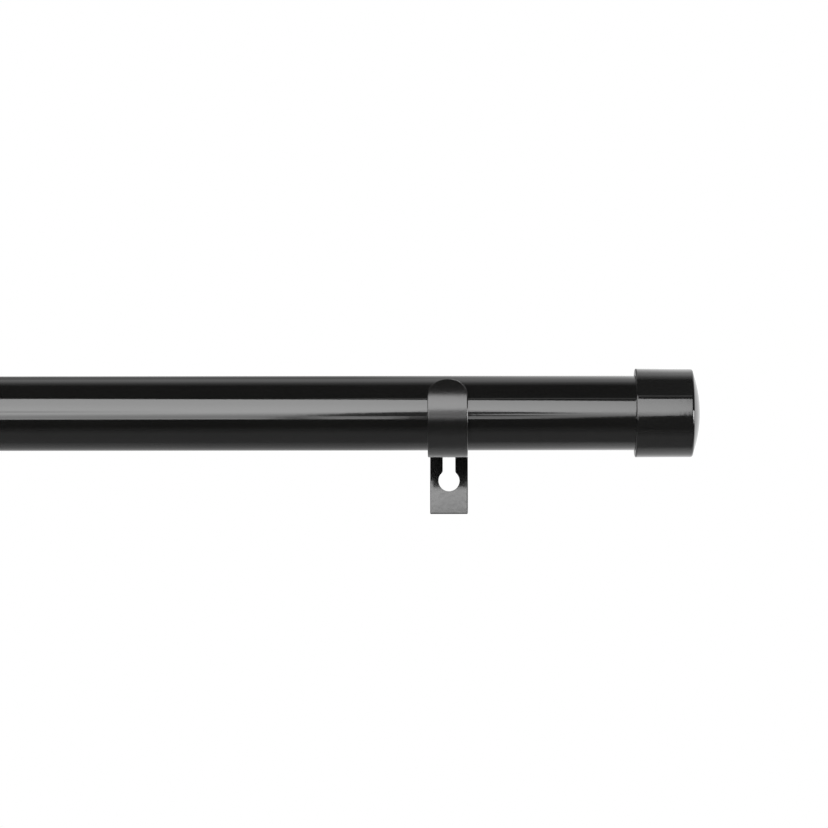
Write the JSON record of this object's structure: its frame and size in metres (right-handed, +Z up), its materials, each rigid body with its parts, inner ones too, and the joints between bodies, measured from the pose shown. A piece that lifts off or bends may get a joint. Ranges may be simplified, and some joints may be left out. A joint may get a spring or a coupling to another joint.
{
  "type": "extendable curtain rod",
  "caption": "Telescopic steel curtain rod with a drum cap on each end, held by strip brackets that hang on wall screws by keyhole plates.",
  "frame": {"origin": "on the wall's surface, midway between the round screw holes of the two wall plates", "axes": "+X along the rod towards the end of the wide tube, +Y back into the wall, +Z up"},
  "size_m": [0.7015, 0.1072, 0.0494],
  "materials": {
    "tube_lacquer": "gloss",
    "cap_lacquer": "gloss",
    "bracket_lacquer": "semi-gloss",
    "moulded_plastic": "matt moulded"
  },
  "bodies": {
    "root": {"outer_tube": "tube_lacquer", "right_bracket": "bracket_lacquer", "left_bracket": "bracket_lacquer"},
    "narrow_end": {"inner_tube": "tube_lacquer", "guide_plug": "moulded_plastic"},
    "right_end_cap": {"right_cap": "cap_lacquer", "right_grip_sleeve": "moulded_plastic"},
    "left_end_cap": {"left_cap": "cap_lacquer", "left_grip_sleeve": "moulded_plastic"}
  },
  "joints": [
    {"name": "telescope", "type": "slide", "parent": "root", "child": "narrow_end", "axis": [-1, 0, 0], "range_m": [0, 0.5]},
    {"name": "right_cap_pull", "type": "slide", "parent": "root", "child": "right_end_cap", "axis": [1, 0, 0], "range_m": [0, 0.03]},
    {"name": "left_cap_pull", "type": "slide", "parent": "narrow_end", "child": "left_end_cap", "axis": [-1, 0, 0], "range_m": [0, 0.03]}
  ]
}
